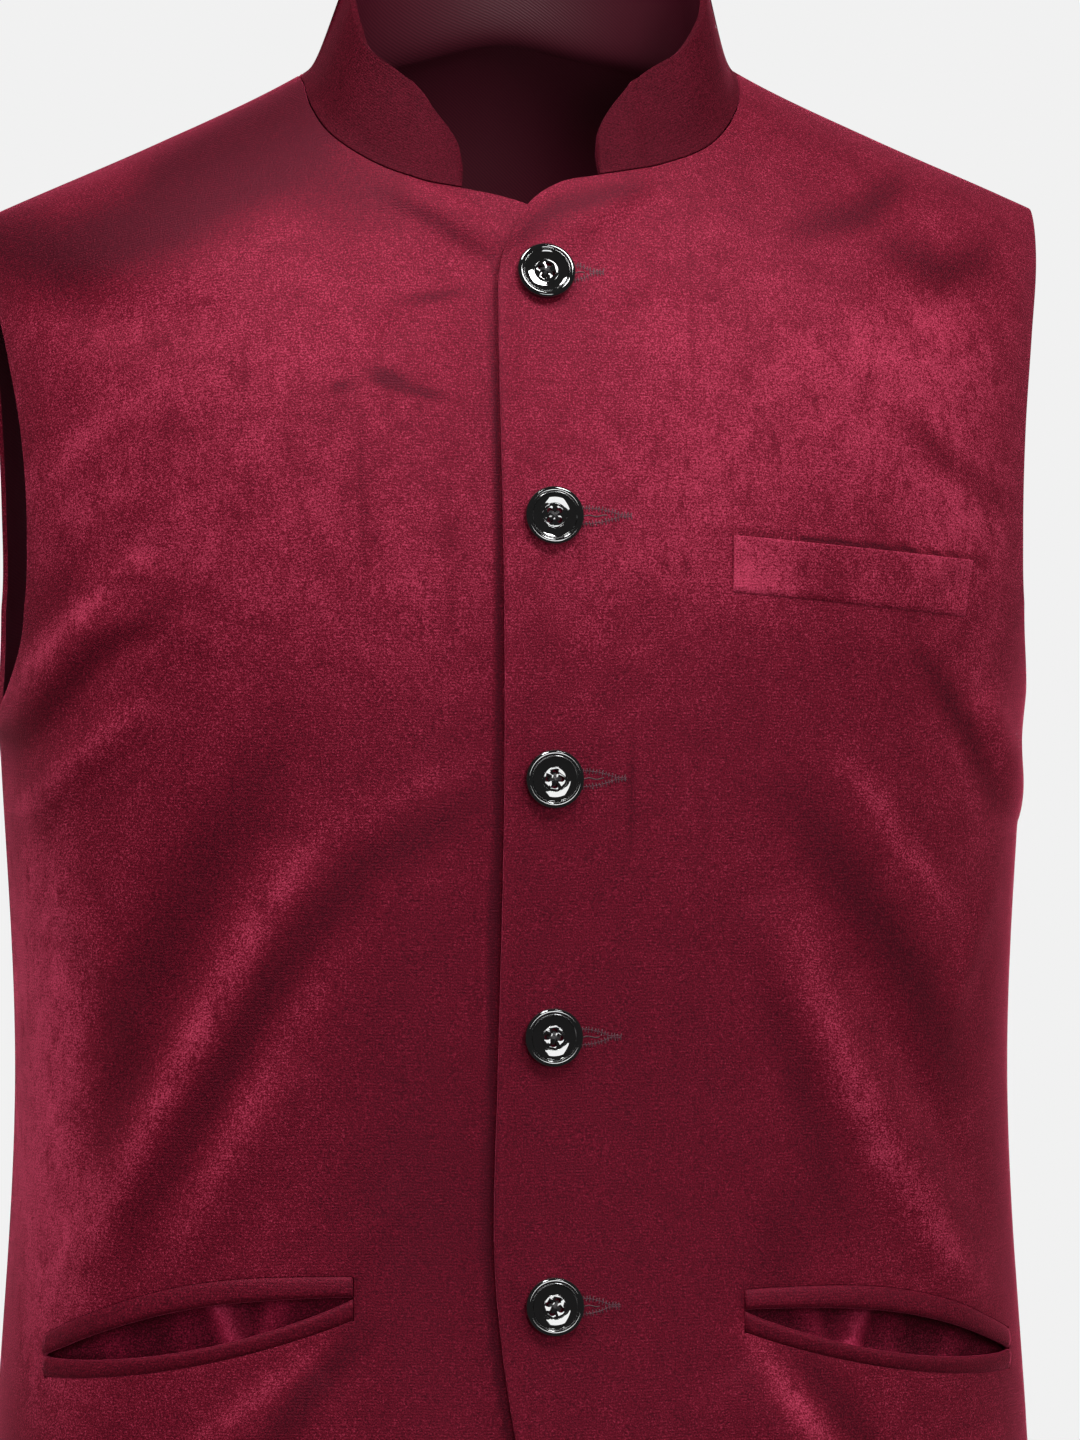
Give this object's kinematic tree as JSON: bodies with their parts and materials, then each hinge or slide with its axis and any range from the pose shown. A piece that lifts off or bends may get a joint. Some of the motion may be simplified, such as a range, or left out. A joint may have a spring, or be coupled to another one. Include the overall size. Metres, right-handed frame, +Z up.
{
  "type": "nehru jacket",
  "caption": "Sleeveless velvet Nehru jacket as worn, with band collar, lapped buttoned front, chest welt pocket and jetted hip pockets.",
  "frame": {"origin": "midway between the neck ends of the shoulder seams, where the wearer's shoulders hold the jacket up", "axes": "+Z up along the body, -Y out of the front, +X towards the wearer's left"},
  "size_m": [0.452, 0.2449, 0.7634],
  "materials": {
    "velvet_body": "burgundy cotton velvet with a short pile",
    "velvet_collar": "stiffened burgundy velvet",
    "velvet_facing": "burgundy velvet facing",
    "button_gloss": "polished black resin"
  },
  "bodies": {
    "root": {"front_left": "velvet_body", "front_right": "velvet_body", "back": "velvet_body", "collar": "velvet_collar", "chest_welt": "velvet_body", "left_jet_upper": "velvet_body", "left_jet_lower": "velvet_body", "left_pocket_facing": "velvet_facing", "right_jet_upper": "velvet_body", "right_jet_lower": "velvet_body", "right_pocket_facing": "velvet_facing", "button_1": "button_gloss", "button_2": "button_gloss", "button_3": "button_gloss", "button_4": "button_gloss", "button_5": "button_gloss"}
  },
  "joints": []
}
